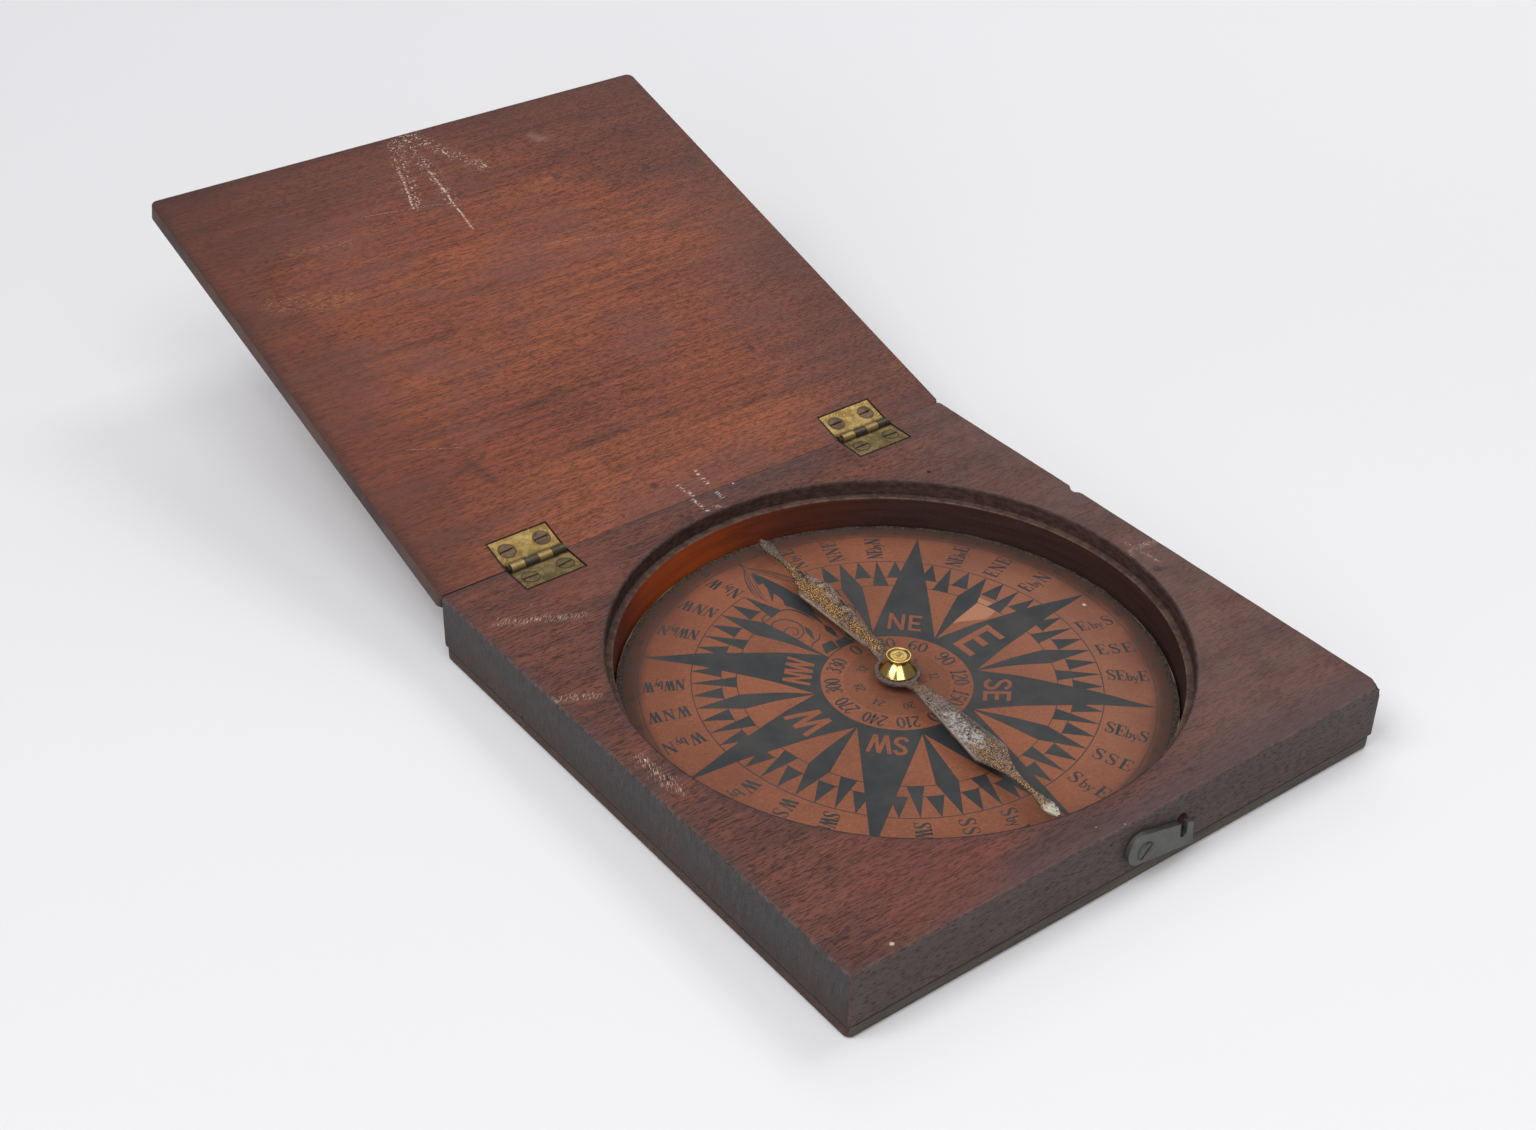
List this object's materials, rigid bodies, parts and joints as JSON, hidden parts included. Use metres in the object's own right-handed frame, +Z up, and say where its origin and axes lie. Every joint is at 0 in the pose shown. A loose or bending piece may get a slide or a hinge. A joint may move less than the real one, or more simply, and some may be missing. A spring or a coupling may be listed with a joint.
{
  "type": "magnetic box compass",
  "caption": "Square wooden box compass: hinged lid lying open, printed card on the floor of a round well, long needle on a turned cap, hook latch at the front.",
  "frame": {"origin": "centre of the case's underside", "axes": "+X to the right along the hinges, -Y towards the latch, +Z up; the lid lies open behind, towards +Y"},
  "size_m": [0.152, 0.2988, 0.0609],
  "materials": {
    "mahogany": "worn varnish, reddish brown",
    "dark_mahogany": "worn, dark reddish brown",
    "lid_mahogany": "oiled, reddish brown",
    "pasteboard": "matt",
    "card": "varnished print, browned with age",
    "steel": "dull",
    "tarnished_steel": "blackened",
    "screws": "worn",
    "brass": "tarnished",
    "cap_brass": "polished",
    "needle_steel": "rust-stained blued steel",
    "agate": "polished",
    "hook_steel": "dull grey"
  },
  "bodies": {
    "case": {"case_body": "mahogany", "bottom_board": "dark_mahogany", "bottom_brads": "steel", "card_backing": "pasteboard", "compass_card": "card", "pivot_pin": "steel", "left_case_leaf": "brass", "right_case_leaf": "brass", "left_hinge_pin": "tarnished_steel", "right_hinge_pin": "tarnished_steel", "left_case_screws": "screws", "right_case_screws": "screws", "latch_screw": "screws"},
    "lid": {"lid_board": "lid_mahogany", "left_lid_leaf": "brass", "right_lid_leaf": "brass", "left_lid_screws": "screws", "right_lid_screws": "screws", "catch_stud": "steel"},
    "needle": {"needle": "needle_steel", "needle_cap": "cap_brass", "cap_jewel": "agate"},
    "hook": {"latch_hook": "hook_steel"}
  },
  "joints": [
    {"name": "lid_hinge", "type": "hinge", "parent": "case", "child": "lid", "pos_m": [0, 0.0752, 0.01775], "axis": [1, 0, 0], "range_deg": [0, 163.3]},
    {"name": "needle_spin", "type": "hinge", "parent": "case", "child": "needle", "pos_m": [-0.0006, 0.0002, 0.0118], "axis": [0, 0, 1], "continuous": true},
    {"name": "hook_swing", "type": "hinge", "parent": "case", "child": "hook", "pos_m": [0.0016, -0.0763, 0.0092], "axis": [0, -1, 0], "range_deg": [-12, 95]}
  ]
}
